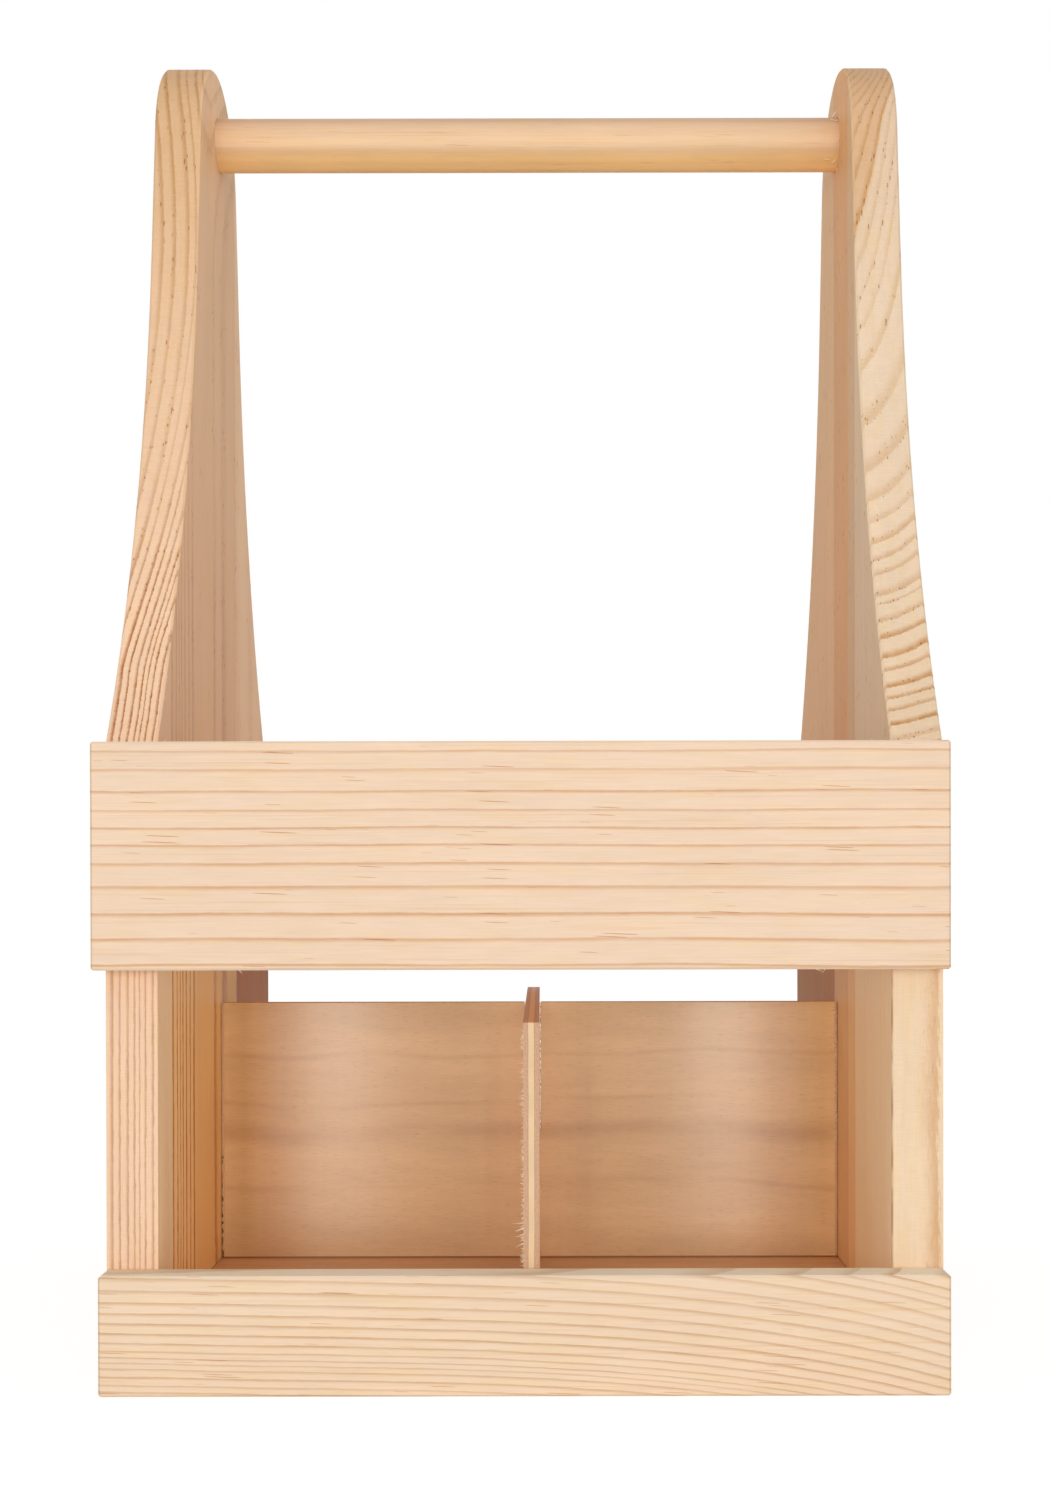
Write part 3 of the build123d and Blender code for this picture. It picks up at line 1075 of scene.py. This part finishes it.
def add_strand(shape, strand, draw, front):
    """Adds a thin curved strand that narrows to a point. One that would pass y = front bends back."""
    place, direction, length, thickness = strand
    root = Vector(place)
    direction = Vector(direction).normalized()
    side = direction.orthogonal().normalized()
    other = direction.cross(side)
    curl = (side * draw.uniform(-1, 1) + other * draw.uniform(-1, 1)) * strand_curl
    if root.y + (direction + curl).y * length < front:
        direction.y = abs(direction.y)
        curl.y = abs(curl.y)
    flat = other * strand_flatness
    rings = []
    for index in range(strand_steps):
        share = index / strand_steps
        centre = root + (direction * share + curl * share * share) * length
        reach = thickness * (1 - share) ** strand_taper_power
        corners = (side, flat, -side, -flat)
        rings.append([shape.verts.new((centre + corner * reach) * millimetre) for corner in corners])
    tip = shape.verts.new((root + (direction + curl) * length) * millimetre)
    shape.faces.new(rings[0][::-1])
    join_rows(shape, rings)
    for index, corner in enumerate(rings[-1]):
        shape.faces.new((corner, rings[-1][(index + 1) % 4], tip))


def join_rows(shape, rows):
    """Adds the sides between rows of four corners."""
    for lower, upper in zip(rows, rows[1:]):
        for index in range(4):
            after = (index + 1) % 4
            shape.faces.new((lower[index], lower[after], upper[after], upper[index]))


def add_ragged_strip(shape, strip, draw):
    """Adds an overhang of veneer with a ragged edge.

    A strip is the x of its root, the x of its furthest point, how ragged it is, and its bottom and top.
    """
    root, furthest, raggedness, bottom, top = strip
    steps = round((top - bottom) / veneer_step)
    rows = []
    for index in range(steps + 1):
        height = bottom + (top - bottom) * index / steps
        tip = furthest - math.copysign(raggedness * draw.random() ** 2, furthest)
        outline = ((root, veneer_front), (tip, veneer_front), (tip, veneer_back), (root, veneer_back))
        rows.append([shape.verts.new(Vector((x, y, height)) * millimetre) for x, y in outline])
    join_rows(shape, rows)
    shape.faces.new(rows[0][::-1])
    shape.faces.new(rows[-1])


def loose_piece(name, body, material, shape):
    """Turns a finished shape into a piece that rides on a body."""
    mesh = bpy.data.meshes.new(name)
    shape.to_mesh(mesh)
    shape.free()
    for face in mesh.polygons:
        face.use_smooth = True
    mesh.materials.append(material)
    piece = bpy.data.objects.new(name, mesh)
    bpy.context.scene.collection.objects.link(piece)
    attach(piece, body)


def torn_fibres(name, body, material, strands, seed, front=-math.inf):
    """One piece with all the given strands: each is its place, direction, length and thickness."""
    draw = random.Random(seed)
    shape = bmesh.new()
    for strand in strands:
        add_strand(shape, strand, draw, front)
    loose_piece(name, body, material, shape)


def fuzz(lines):
    """Short strands at random places on each line from start to end, pointing roughly one way."""
    strands = []
    for start, end, count, direction, lengths, thickness, seed in lines:
        draw = random.Random(seed)
        for _ in range(count):
            place = Vector(start).lerp(Vector(end), draw.random())
            heading = [part + draw.uniform(-fuzz_scatter, fuzz_scatter) for part in direction]
            length = draw.uniform(*lengths)
            strands.append((tuple(place), heading, length, thickness * draw.uniform(*fuzz_thickness_shares)))
    return strands


def tear_carcass():
    """Fibres at the slats' ends, on the left panel's inner face and at the handle's right socket."""
    wood = plain_wood("pale_splinters", "z", (0.95, 0.80, 0.60), 9)
    strands = carcass_strands + fuzz(carcass_fuzz)
    torn_fibres("torn_fibres_carcass", "carcass", wood, strands, 13, carcass_fibre_front)


def tear_dividers():
    """Fibres on the cross divider's front edge, at the long divider's ends and along its slot."""
    wood = plain_wood("veneer_splinters", "z", (0.93, 0.74, 0.54), 10)
    cross, long = fuzz(cross_divider_fuzz), fuzz(long_divider_fuzz)
    torn_fibres("torn_fibres_cross_divider", "cross_divider", wood, cross, 16, cross_fibre_front)
    torn_fibres("torn_fibres_long_divider", "long_divider", wood, long, 19)
    # Torn fibres along the slot whose dark colour is painted shade in the crease beside the cross divider
    wood = plain_wood("slot_splinters", "z", (0.44, 0.24, 0.11), 11)
    torn_fibres("torn_fibres_slot", "long_divider", wood, fuzz(slot_fuzz), 21)


def tear_veneer():
    """Lips of face veneer at the long divider's ends. The left one is more ragged in its lower part."""
    wood = plain_wood("end_splinters", "x", (0.72, 0.45, 0.23), 12)
    strips = (
        (veneer_root, veneer_tip, 0.12, veneer_bottom, veneer_top),
        (-veneer_root, -veneer_tip, 0.2, 42, veneer_top),
        (-veneer_root, -veneer_tip, 0.75, veneer_bottom, 41.6),
    )
    draw = random.Random(26)
    shape = bmesh.new()
    for strip in strips:
        add_ragged_strip(shape, strip, draw)
    bmesh.ops.recalc_face_normals(shape, faces=shape.faces)
    loose_piece("torn_veneer_divider_ends", "long_divider", wood, shape)


def make_camera():
    data = bpy.data.cameras.new("photo_camera")
    data.sensor_width = camera_sensor
    data.lens = camera_lens
    data.shift_x, data.shift_y = camera_shift
    camera = bpy.data.objects.new("photo_camera", data)
    camera.location = Vector(camera_place) * millimetre
    level = Matrix.Rotation(math.radians(90) - camera_tilt_down, 4, "X")
    camera.rotation_euler = (level @ Matrix.Rotation(camera_roll, 4, "Z")).to_euler()
    bpy.context.scene.collection.objects.link(camera)
    bpy.context.scene.camera = camera


def area_light(name, place, size, power, aim):
    data = bpy.data.lights.new(name, "AREA")
    data.shape = "RECTANGLE"
    data.size, data.size_y = (length * millimetre for length in size)
    data.energy = power
    light = bpy.data.objects.new(name, data)
    light.location = Vector(place) * millimetre
    direction = Vector(aim) * millimetre - light.location
    light.rotation_mode = "QUATERNION"
    light.rotation_quaternion = direction.to_track_quat("-Z", "Y")
    bpy.context.scene.collection.objects.link(light)


def make_lights():
    area_light("fill_light", fill_place, fill_size, fill_power, fill_aim)
    for across in strip_places:
        place = (across, -strip_distance, strip_height)
        area_light("strip_light", place, strip_size, strip_power, strip_aim)


def seen_directly(graph):
    """1 for camera, glossy and transmission rays, and 0 for the rays that light the object."""
    path = graph.node("ShaderNodeLightPath").outputs
    glossy = graph.math("MAXIMUM", path["Is Camera Ray"], path["Is Glossy Ray"])
    return graph.math("MAXIMUM", glossy, path["Is Transmission Ray"])


def make_world():
    """Seen directly it is plain white. Its light comes from the front, and behind only from higher up."""
    world = bpy.data.worlds.new("studio")
    bpy.context.scene.world = world
    graph = Graph(world)
    seen = seen_directly(graph)
    depth, height = graph.split(graph.coordinates["Generated"])[1:]
    behind = graph.slope(height, 0, world_high, world_light_low_behind, world_light_behind)
    lighting = graph.slope(depth, world_turn, -world_turn, behind, world_light_in_front)
    inputs = {
        "Color": graph.mix(seen, world_colour, white),
        "Strength": graph.slope(seen, 0, 1, lighting, 1),
    }
    graph.node("ShaderNodeOutputWorld", {"Surface": graph.add("ShaderNodeBackground", inputs)})


def floor_material():
    """Lights the object like a pale floor with a dark strip behind it, and glows when seen directly."""
    floor = Graph(bpy.data.materials.new("studio_floor"))
    depth = floor.split(floor.coordinates["Object"])[1]
    turns = (floor_turns_dark, floor_turns_pale)
    dark, pale = (floor.slope(depth, near * millimetre, far * millimetre) for near, far in turns)
    colour = floor.mix(floor.math("SUBTRACT", dark, pale), floor_colour, floor_colour_behind)
    bounce = floor.add("ShaderNodeBsdfDiffuse", {"Color": colour})
    shown = floor.add("ShaderNodeBsdfDiffuse", {"Color": floor_seen_colour})
    glow = floor.add("ShaderNodeEmission", {"Strength": floor_seen_glow})
    glowing = floor.add("ShaderNodeAddShader", {0: shown, 1: glow})
    surface = floor.add("ShaderNodeMixShader", {"Fac": seen_directly(floor), 1: bounce, 2: glowing})
    floor.node("ShaderNodeOutputMaterial", {"Surface": surface})
    return floor.owner


def make_floor():
    """A pale floor that looks white and keeps a soft shadow."""
    bpy.ops.mesh.primitive_plane_add(size=floor_reach)
    floor = bpy.context.object
    floor.name = "studio_floor"
    floor.location.z = -floor_gap * millimetre
    floor.data.materials.append(floor_material())


dress_nodes()
tear_carcass()
tear_dividers()
tear_veneer()
make_camera()
make_lights()
make_world()
make_floor()
bpy.context.scene.view_settings.view_transform = "Standard"
